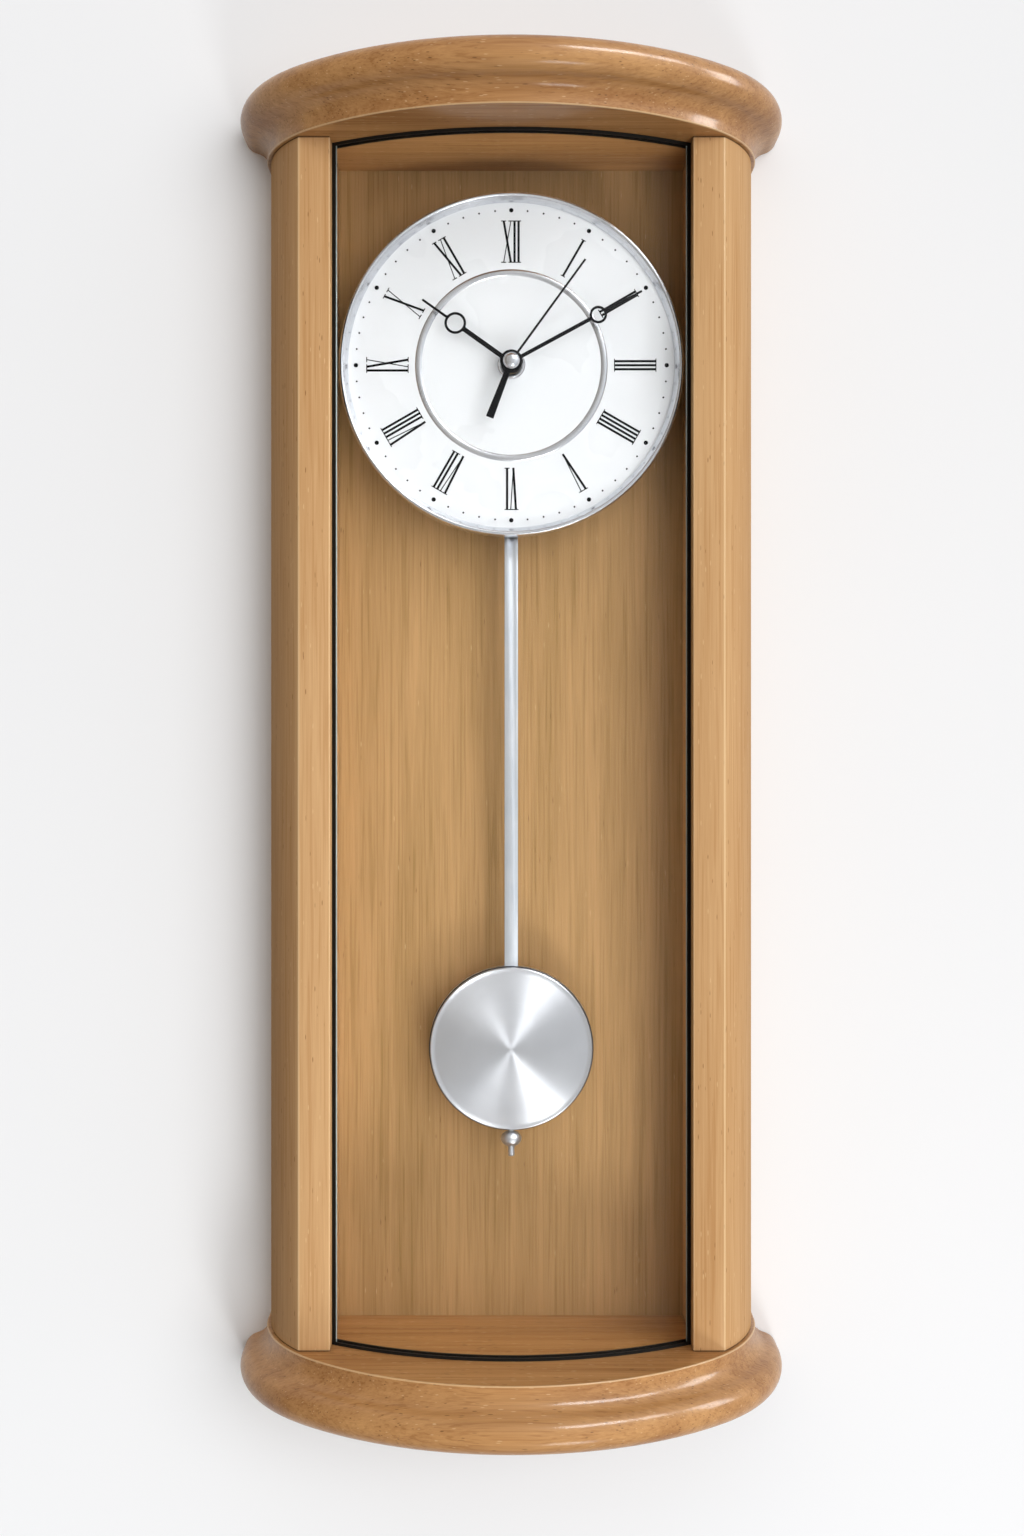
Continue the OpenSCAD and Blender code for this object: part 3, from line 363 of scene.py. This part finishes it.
bm = bmesh.new()
half_turn = asin(GLASS_HALF / GLASS_R)
for r in (GLASS_R, GLASS_R - GLASS_T):
    for z in (GLASS_LOW, GLASS_HIGH):
        bm.verts.new((r * sin(half_turn), GLASS_CENTRE - r * cos(half_turn), z))
bm.verts.ensure_lookup_table()
end = bm.faces.new([bm.verts[i] for i in (0, 1, 3, 2)])
bmesh.ops.spin(bm, geom=[end] + end.edges[:] + end.verts[:], cent=(0, GLASS_CENTRE, 0), axis=(0, 0, 1),
               angle=-2 * half_turn, steps=64)
bmesh.ops.recalc_face_normals(bm, faces=bm.faces)
for face in bm.faces:
    radial = Vector(face.calc_center_median()) - Vector((0, GLASS_CENTRE, 0))
    radial.z = 0
    is_edge = abs(face.normal.dot(radial.normalized())) < 0.5
    face.material_index = int(is_edge)
fit(bm, "bent_glass", "case", [glass, ground], ["front_glass"])


# Black channels. Extruded rubber pushed on the glass's edges and into grooves of the boards. It
# is nearly black and matt, with a fine grit.
def mottled(name, scale, tones, shines, bump=None, detail=2, sockets=None):
    """A painted, printed or moulded finish. One mottle moves its tone, its shine and its bump.

    Scale is the number of the mottle's cells in a metre, so 2600 is a grit of 0.4 mm. Bump is a
    strength and a height in metres.
    """
    m = new_material(name)
    place = add(m, "TexCoord")["Object"]
    mottle = add(m, "TexNoise", {"Vector": place, "Scale": scale, "Detail": detail})[0]
    tone = add(m, "Mix", {0: mottle, 6: colour(tones[0]), 7: colour(tones[1])}, data_type="RGBA")[2]
    shine = add(m, "MapRange", {"Value": mottle, "To Min": shines[0], "To Max": shines[1]})[0]
    surface = {"Base Color": tone, "Roughness": shine, **(sockets or {})}
    if bump:
        strength, height = bump
        lift = add(m, "Bump", {"Height": mottle, "Strength": strength, "Distance": height})[0]
        surface["Normal"] = lift
    add(m, "OutputMaterial", {"Surface": add(m, "BsdfPrincipled", surface)[0]})
    return m


rubber = mottled("black_extruded_rubber", 2600, ("#101110", "#1E1D1B"), (0.38, 0.6), (0.15, 0.0001),
                 sockets={"IOR": 1.5, "Specular IOR Level": 0.2})
dress(rubber, "top_strip", "bottom_strip", "left_strip", "right_strip")

# Dial. A steel disc with white enamel, clamped in a spun aluminium bezel, with a small pressed
# ring inside the numerals and the round nut of the movement in its middle. The numerals and dots
# are printed in black.
DIAL_Z, FACE, DIAL_R = -76, 36, 83
BEZEL_BACK, BEZEL_FRONT, BEZEL_WALL, BEZEL_IN = 33, 41, 1.45, 4.3
BUSH_R, NUT_R, NUT_FRONT, NUT_EDGE = 4.05, 6.8, 38.4, 0.6

# Baked enamel: a cool white with a soft shine that drifts a little over the disc, and the
# faintest peel.
enamel = new_material("white_enamel_on_steel")
place = add(enamel, "TexCoord")["Object"]
cloud = add(enamel, "TexNoise", {"Vector": place, "Scale": 18, "Detail": 3})[0]
peel = add(enamel, "TexNoise", {"Vector": place, "Scale": 900, "Detail": 1})[0]
tone = add(enamel, "Mix", {0: cloud, 6: colour("#E9EBEE"), 7: colour("#E3E6E9")}, data_type="RGBA")[2]
shine = add(enamel, "MapRange", {"Value": cloud, "To Min": 0.22, "To Max": 0.34})[0]
bump = add(enamel, "Bump", {"Height": peel, "Strength": 0.04, "Distance": 0.00005})[0]
add(enamel, "OutputMaterial", {"Surface": add(enamel, "BsdfPrincipled", {
    "Base Color": tone, "Roughness": shine, "Normal": bump, "IOR": 1.5})[0]})
dress(enamel, "dial")

# Screen printing ink: flat and black, with hardly any shine of its own.
ink = mottled("screen_printed_black_ink", 4000, ("#0A0A0C", "#18181B"), (0.45, 0.65), detail=1,
              sockets={"Specular IOR Level": 0.05})
dress(ink, "dial_print")


def turned(outline, z, steps, ease=0.0):
    """Turns an outline of radius and depth round an axis that runs to the front at a height."""
    bm = bmesh.new()
    verts = [bm.verts.new((r, -depth, z)) for r, depth in outline]
    edges = [bm.edges.new(pair) for pair in zip(verts, verts[1:])]
    if outline[0][0] > 0 and outline[-1][0] > 0:
        edges.append(bm.edges.new((verts[-1], verts[0])))
    bmesh.ops.spin(bm, geom=verts + edges, cent=(0, 0, z), axis=(0, 1, 0), angle=2 * pi, steps=steps,
                   use_merge=True)
    bmesh.ops.remove_doubles(bm, verts=bm.verts, dist=WELD)
    bmesh.ops.recalc_face_normals(bm, faces=bm.faces)
    if ease:
        bmesh.ops.bevel(bm, geom=edges_over(bm, 20), offset=ease, segments=3, profile=0.5, affect="EDGES",
                        clamp_overlap=True, material=-1)
    return bm


def metal(name, dark, pale, roughness, spread=0.08, stretch=(1, 1, 1), grit=0.6, bump=0.05, pattern=None,
          edge_shade=None, **extra):
    """Metal whose fine marks are grit millimetres apart, drawn out along the axis with a small stretch.

    The edge colour is a darker tone painted on the marked edge faces as their shade.
    """
    m = new_material(name)
    place = add(m, "TexCoord")["Object"]
    if pattern:
        marks = pattern(m, place)
    else:
        marks = add(m, "Mapping", {"Vector": place, "Scale": [1000 / grit * s for s in stretch]})[0]
        marks = add(m, "TexNoise", {"Vector": marks, "Scale": 1, "Detail": 3})[0]
    cloud = add(m, "TexNoise", {"Vector": place, "Scale": 60, "Detail": 2})[0]
    mixed = add(m, "Math", {0: marks, 1: cloud}, operation="MULTIPLY")[0]
    mixed = add(m, "MapRange", {"Value": mixed, "From Min": 0.1, "From Max": 0.42})[0]
    tone = add(m, "Mix", {0: mixed, 6: colour(dark), 7: colour(pale)}, data_type="RGBA")[2]
    if edge_shade:
        edge_shade_mask = add(m, "Attribute", attribute_name="painted_edges")["Fac"]
        tone = add(m, "Mix", {0: edge_shade_mask, 6: tone, 7: colour(edge_shade)}, data_type="RGBA")[2]
    shine = add(m, "MapRange", {"Value": marks, "From Min": 0.3, "From Max": 0.7,
                                "To Min": roughness - spread / 2, "To Max": roughness + spread / 2})[0]
    lift = add(m, "Bump", {"Height": marks, "Strength": bump, "Distance": 0.00005})[0]
    shader = add(m, "BsdfPrincipled", {
        "Base Color": tone, "Roughness": shine, "Normal": lift, "Metallic": 1, **extra})[0]
    add(m, "OutputMaterial", {"Surface": shader})
    return m


def turning(pitch, height):
    """The rings that a lathe's tool leaves round an axis at a height, about pitch millimetres apart."""
    def pattern(m, place):
        out = add(m, "VectorMath", {0: place, 1: (0, 0, height / 1000)}, operation="SUBTRACT")[0]
        out = add(m, "VectorMath", {0: out, 1: (1, 0, 1)}, operation="MULTIPLY", name="out")[0]
        radius = add(m, "VectorMath", {0: out}, operation="LENGTH")["Value"]
        turns = add(m, "Math", {0: radius, 1: 1000 / pitch}, operation="MULTIPLY")[0]
        return add(m, "TexNoise", {"W": turns, "Scale": 1, "Detail": 3}, noise_dimensions="1D")[0]
    return pattern


# Aluminium, turned and anodised: pale silver that mirrors the room softly.
satin = metal("satin_anodised_aluminium", "#D3D6DC", "#E6E8EC", 0.24, pattern=turning(0.25, DIAL_Z),
              bump=0.02)
bezel_outline = [
    (DIAL_R - BEZEL_WALL, BEZEL_BACK), (DIAL_R, BEZEL_BACK), (DIAL_R, 39.6), (DIAL_R - 0.5, 40.7),
    (DIAL_R - 1.4, BEZEL_FRONT), (DIAL_R - 2.2, 40.6), (DIAL_R - BEZEL_IN, 37), (DIAL_R - BEZEL_IN, FACE),
    (DIAL_R - BEZEL_WALL, FACE)]
fit(turned(bezel_outline, DIAL_Z, 160, ease=0.18), "bezel_ring", "case", [satin], ["bezel"], 45)
ring_outline = [(43.3, FACE), (46.5, FACE), (46.3, 36.15), (45.7, 36.42), (44.9, 36.55), (44.1, 36.42),
                (43.5, 36.15)]
fit(turned(ring_outline, DIAL_Z, 128), "chapter_ring", "case", [satin], ["dial_ring"], 45)
nut_outline = [(BUSH_R, FACE), (NUT_R, FACE), (NUT_R, NUT_FRONT - NUT_EDGE), (NUT_R - NUT_EDGE, NUT_FRONT),
               (BUSH_R, NUT_FRONT)]
fit(turned(nut_outline, DIAL_Z, 64, ease=0.15), "centre_nut", "case", [satin], ["bush_nut"], 45)


# Hands. Punched from sheet and painted black, with rings near their tips; the second hand has
# a broad tail and a turned silver cap.
def eased(name, material, width):
    """A copy of a CAD solid with its flats joined and its sharp edges eased."""
    node = frame["nodes"][name]
    bm = bmesh.new()
    bm.from_mesh(node.data)
    bmesh.ops.scale(bm, vec=(1000, 1000, 1000), verts=bm.verts)
    bmesh.ops.remove_doubles(bm, verts=bm.verts, dist=WELD)
    bmesh.ops.dissolve_limit(bm, angle_limit=radians(0.6), verts=bm.verts, edges=bm.edges)
    eased_arrises = bmesh.ops.bevel(bm, geom=edges_over(bm, 30), offset=width, segments=2, profile=0.5,
                           affect="EDGES", clamp_overlap=True, material=-1)
    # The eased edges are marked; the strip's material paints them dark as shade.
    mark_painted_edges(bm, eased_arrises["faces"])
    fit(bm, name + "_eased", body_of(node)[0], [material], [name])


# Sprayed lacquer over brass sheet: black with a slight gloss.
lacquer = mottled("black_lacquer_on_brass", 1500, ("#08080A", "#17171A"), (0.3, 0.45), (0.05, 0.00005),
                  sockets={"IOR": 1.5, "Specular IOR Level": 0.08})
for hand in ("hour_hand", "minute_hand", "second_hand"):
    eased(hand, lacquer, width=0.12)
cap_outline = [(0, 46.9), (4.1, 46.9), (4.1, 47.3), (3.9, 48.0), (3.3, 48.8), (2.4, 49.4), (1.2, 49.8),
               (0, 49.9)]
fit(turned(cap_outline, DIAL_Z, 48), "centre_cap", "second_work", [satin], ["hand_cap"], 60)

# Pendulum. A flat anodised aluminium strip carries a spun bob; a plated ball nut on the
# threaded end sets its height.
BOB_Z, BOB_R, BOB_EDGE, BEAD = -407.5, 40, 39.4, 0.95
DOME_BACK, DOME_RISE, DOME_STEPS = 31.3, 3.2, 20
FLANGE_BACK, FLANGE_FRONT = 29.7, 30.4

# Aluminium strip brushed along its length and anodised: a cool pale face, its edges painted dark as shade.
strip = metal("brushed_anodised_strip", "#DDE5EF", "#F3F7FD", 0.34, stretch=(1, 1, 0.02), grit=0.35,
              edge_shade="#7C828A")
eased("pendulum_rod", strip, width=0.4)

# Aluminium spun over a former: rings so fine that light fans out from the middle. The tangent
# points away from the axis, and the flange behind the bead is painted dark as its shade.
spun = metal("spun_aluminium", "#DADDE3", "#E8EBF1", 0.37, pattern=turning(0.33, BOB_Z), spread=0.03,
             bump=0.008, edge_shade="#4B4D52", Anisotropic=0.85)
out = add(spun, "VectorTransform", {0: spun.node_tree.nodes["out"].outputs[0]}, vector_type="VECTOR",
          convert_from="OBJECT", convert_to="WORLD")[0]
spun.node_tree.links.new(out, spun.node_tree.nodes["Principled BSDF"].inputs["Tangent"])
dome_r = (BOB_R ** 2 + DOME_RISE ** 2) / (2 * DOME_RISE)
dome_turn = asin((BOB_EDGE - BEAD) / dome_r)
rim_outline = [
    (0, 26.55), (38.9, 26.55), (38.9, 25.3), (BOB_R, 25.3), (BOB_R, 29.8), (39.1, 30.1), (39.1, 30.5),
    (BOB_EDGE, 30.9), (BOB_EDGE, DOME_BACK), (39.2, 31.6), (38.9, 31.72), (38.6, 31.65)]
dome_outline = []
for i in range(DOME_STEPS + 1):
    turn = dome_turn * (1 - i / DOME_STEPS)
    dome_outline.append((dome_r * sin(turn), DOME_BACK + DOME_RISE - dome_r * (1 - cos(turn))))
bob = turned(rim_outline + dome_outline, BOB_Z, 160)
# The flange faces are marked for the painted shade behind the bead.
mark_painted_edges(bob, [f for f in bob.faces if FLANGE_BACK < -f.calc_center_median().y < FLANGE_FRONT])
fit(bob, "bob", "pendulum", [spun], ["bob_front", "bob_back"], 50)

# Turned brass with satin nickel plating: pale grey with a broad, soft highlight.
plated = metal("satin_nickel_plated_brass", "#C2C5CA", "#DADDE2", 0.42, grit=0.2)
dress(plated, "rating_nut", "rod_stud")

# Movement and fixings. A moulded black quartz movement with its battery, screws, spacers and
# the steel hanger plate; most of it shows only from behind.

# Moulded ABS with a spark-eroded grain: near black, with a dull and slightly rough shine.
abs_black = mottled("moulded_black_abs", 1800, ("#1B1C1F", "#2A2C30"), (0.42, 0.6), (0.25, 0.0001),
                    sockets={"IOR": 1.53})
for part in ("movement_case", "movement_cover", "setting_knob", "pendulum_hanger"):
    eased(part, abs_black, width=0.2)

# Steel stamped or turned, then zinc plated: a mid grey with a cloudy shine.
zinc = metal("zinc_plated_steel", "#9FA3A8", "#C4C8CC", 0.38, grit=1.2)
dress(zinc, "back_screws", "hanger_plate", "hanger_screws", "spacer_screws", "spacers", "dial_carrier",
      "motor_stator", "pivot_pin", "second_arbor", "battery_contacts", "drive_magnet")

# Bare turned brass: yellow and fairly bright.
brass = metal("turned_brass", "#A9843F", "#CFAA5E", 0.3)
dress(brass, "centre_bush")

# Fine enamelled wire wound in close turns: red brown with lines across the winding.
copper = metal("enamelled_copper_wire", "#8E4B28", "#C97C4B", 0.35, stretch=(1, 1, 4), grit=0.2, bump=0.4)
dress(copper, "motor_coil", "drive_coil")

# Printed foil over a steel can: dark grey and metallic, with nothing printed on it.
jacket = metal("printed_battery_jacket", "#3A4047", "#59626B", 0.3)
dress(jacket, "battery")

# Moulded acetal, left in its own colour: milky and waxy.
acetal = mottled("natural_acetal", 120, ("#E6E1D0", "#D5CFBB"), (0.35, 0.5))
dress(acetal, "hour_wheel", "minute_wheel", "intermediate_wheel")

# Glass fibre laminate under a green solder mask: glossy and uneven in tone.
laminate = mottled("green_circuit_laminate", 300, ("#1F5A38", "#2E7349"), (0.25, 0.4))
dress(laminate, "circuit_board")

# Room, in metres. A pale wall right behind the clock and a pale floor far below it. Both show from
# the front alone, to the camera and in what shines or is clear, so that they hide neither the
# clock's back nor its light.
ROOM_SIDE, ROOM_FRONT, WALL_Y, FLOOR_Z, WALL_TOP = 2, -3, 0.001, -2.1, 1.6

# Matt emulsion: nearly white, with a drift in tone too weak to notice.
paint = new_material("pale_wall_paint")
drift = add(paint, "TexNoise", {"Vector": add(paint, "TexCoord")["Object"], "Scale": 3, "Detail": 2})[0]
tone = add(paint, "Mix", {0: drift, 6: colour("#F0F1F3"), 7: colour("#EBEDEF")}, data_type="RGBA")[2]
front = add(paint, "BsdfDiffuse", {"Color": tone})[0]
path, facing = add(paint, "LightPath"), add(paint, "NewGeometry")
seen = add(paint, "Math", {0: path["Is Camera Ray"], 1: path["Is Glossy Ray"]}, operation="MAXIMUM")[0]
seen = add(paint, "Math", {0: seen, 1: path["Is Transmission Ray"]}, operation="MAXIMUM")[0]
away = add(paint, "Math", {0: 1.0, 1: facing["Backfacing"]}, operation="SUBTRACT")[0]
seen = add(paint, "Math", {0: seen, 1: away}, operation="MULTIPLY")[0]
clear = add(paint, "BsdfTransparent")[0]
add(paint, "OutputMaterial", {"Surface": add(paint, "MixShader", {0: seen, 1: clear, 2: front})[0]})
ROOM = {
    "wall": ((-ROOM_SIDE, WALL_Y, FLOOR_Z), (ROOM_SIDE, WALL_Y, FLOOR_Z),
             (ROOM_SIDE, WALL_Y, WALL_TOP), (-ROOM_SIDE, WALL_Y, WALL_TOP)),
    "floor": ((-ROOM_SIDE, ROOM_FRONT, FLOOR_Z), (ROOM_SIDE, ROOM_FRONT, FLOOR_Z),
              (ROOM_SIDE, WALL_Y, FLOOR_Z), (-ROOM_SIDE, WALL_Y, FLOOR_Z)),
}
for name, corners in ROOM.items():
    bm = bmesh.new()
    bm.faces.new([bm.verts.new(corner) for corner in corners])
    mesh = bpy.data.meshes.new(name)
    bm.to_mesh(mesh)
    bm.free()
    mesh.materials.append(paint)
    plane = bpy.data.objects.new(name, mesh)
    scene.collection.objects.link(plane)

# Light. A broad soft light from the right front, which the glass doesn't mirror, three windows on
# the right for the shine, and a low reflector. The room is warm and dim on the left, cool and
# bright on the right and above.
LAMP_TARGET, LAMP_FAR = Vector((0, -0.06, -0.26)), 2.2
world = bpy.data.worlds.new("room_light")
scene.world = world
world.use_nodes = True
world.node_tree.nodes.clear()
side = add(world, "SeparateXYZ", {0: add(world, "TexCoord")["Generated"]})
right = add(world, "MapRange", {"Value": side[0], "From Min": -0.9, "From Max": 0.9})[0]
tint = add(world, "Mix", {0: right, 6: colour("#F4E9DC"), 7: colour("#F4F7FC")}, data_type="RGBA")[2]
level = add(world, "MapRange", {"Value": right, "To Min": 0.13, "To Max": 0.54})[0]
above = add(world, "MapRange", {"Value": side[2], "From Min": -1, "To Min": -0.24, "To Max": 0.58})[0]
level = add(world, "Math", {0: level, 1: above}, operation="ADD")[0]

# The camera, and what shines or is clear, sees the room paler than it lights the clock. What wood
# and dial gather through the glass is the room's own level.
shown =add(world, "MapRange", {"Value": right, "From Max": 0.7, "To Min": 0.36, "To Max": 0.94})[0]
path = add(world, "LightPath")
seen = add(world, "Math", {0: path["Is Camera Ray"], 1: path["Is Glossy Ray"]}, operation="MAXIMUM")[0]
seen = add(world, "Math", {0: seen, 1: path["Is Transmission Ray"]}, operation="MAXIMUM")[0]
direct = add(world, "Math", {0: path["Diffuse Depth"], 1: 0.5}, operation="LESS_THAN")[0]
seen = add(world, "Math", {0: seen, 1: direct}, operation="MULTIPLY")[0]
level = add(world, "Mix", {0: seen, 2: level, 3: shown})[0]
add(world, "OutputWorld", {"Surface": add(world, "Background", {"Color": tint, "Strength": level})[0]})


def lamp(name, kind, azimuth, elevation, power, **settings):
    """A lamp that looks at the clock's middle from an angle to the right and an angle up."""
    data = bpy.data.lights.new(name, kind)
    data.energy = power
    for key, value in settings.items():
        setattr(data, key, value)
    light = bpy.data.objects.new(name, data)
    a, e = radians(azimuth), radians(elevation)
    way = Vector((sin(a) * cos(e), -cos(a) * cos(e), sin(e)))
    light.location = LAMP_TARGET + LAMP_FAR * way
    light.rotation_euler = way.to_track_quat("Z", "Y").to_euler()
    scene.collection.objects.link(light)
    return light


key = lamp("soft_key", "SUN", 27, 5, 1.72, angle=radians(46))
key.visible_glossy = key.visible_transmission = False
for shine in (lamp("window", "AREA", 38, 43, 39, shape="RECTANGLE", size=0.9, size_y=0.5),
              lamp("next_window", "AREA", 62, 38, 14, shape="RECTANGLE", size=0.4, size_y=0.5),
              lamp("side_window", "AREA", 82, 20, 30, shape="RECTANGLE", size=0.5, size_y=1.0)):
    shine.visible_diffuse = shine.visible_transmission = False
lamp("low_reflector", "AREA", 24, -46, 10, shape="RECTANGLE", size=0.5, size_y=0.5)
